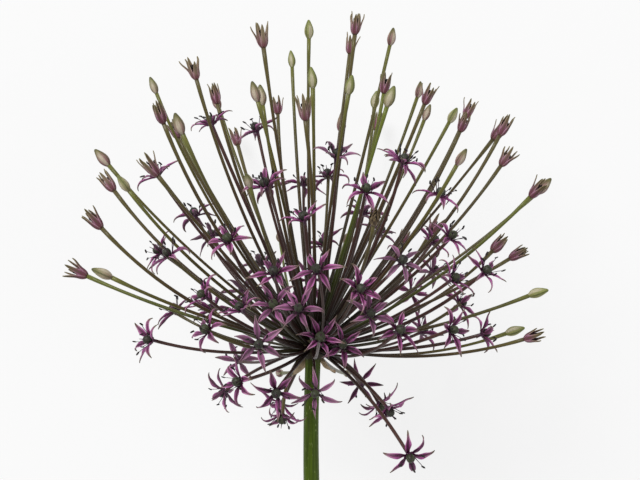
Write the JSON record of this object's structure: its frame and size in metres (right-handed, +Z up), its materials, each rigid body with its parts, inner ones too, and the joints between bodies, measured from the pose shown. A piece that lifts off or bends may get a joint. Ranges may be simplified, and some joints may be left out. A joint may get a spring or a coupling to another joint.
{
  "type": "allium flower head",
  "caption": "Cut allium flower head lying on its side: a short green stem and a burst of long and short stalks that end in purple star florets and slim buds.",
  "frame": {"origin": "on the surface that the head rests on, under the middle of its bounding box", "axes": "+Y along the head, from the stem's cut end to the head's top; +Z up from the surface; +X to the right of a viewer who looks down with the head's top up"},
  "size_m": [0.246, 0.2674, 0.208],
  "materials": {
    "umbel": "satin",
    "scape": "satin",
    "tepal": "satin",
    "sheath": "matte"
  },
  "bodies": {
    "root": {"umbel": "umbel", "scape": "scape", "sheath_valve_1": "sheath", "sheath_valve_2": "sheath", "open_floret_01": "tepal", "open_floret_02": "tepal", "open_floret_03": "tepal", "open_floret_04": "tepal", "open_floret_05": "tepal", "open_floret_06": "tepal", "open_floret_07": "tepal", "open_floret_08": "tepal", "open_floret_09": "tepal", "open_floret_10": "tepal", "open_floret_11": "tepal", "open_floret_12": "tepal", "open_floret_13": "tepal", "open_floret_14": "tepal", "open_floret_15": "tepal", "open_floret_16": "tepal", "open_floret_17": "tepal", "open_floret_18": "tepal", "open_floret_19": "tepal", "open_floret_20": "tepal", "open_floret_21": "tepal", "open_floret_22": "tepal", "open_floret_23": "tepal", "open_floret_24": "tepal", "open_floret_25": "tepal", "open_floret_26": "tepal", "open_floret_27": "tepal", "open_floret_28": "tepal", "open_floret_29": "tepal", "open_floret_30": "tepal", "open_floret_31": "tepal", "open_floret_32": "tepal", "open_floret_33": "tepal", "open_floret_34": "tepal", "open_floret_35": "tepal", "open_floret_36": "tepal", "open_floret_37": "tepal", "open_floret_38": "tepal", "open_floret_39": "tepal", "open_floret_40": "tepal", "open_floret_41": "tepal", "open_floret_42": "tepal", "open_floret_43": "tepal", "open_floret_44": "tepal", "open_floret_45": "tepal", "open_floret_46": "tepal", "open_floret_47": "tepal", "open_floret_48": "tepal", "open_floret_49": "tepal", "open_floret_50": "tepal", "open_floret_51": "tepal", "open_floret_52": "tepal", "open_floret_53": "tepal", "open_floret_54": "tepal", "open_floret_55": "tepal", "open_floret_56": "tepal"}
  },
  "joints": []
}
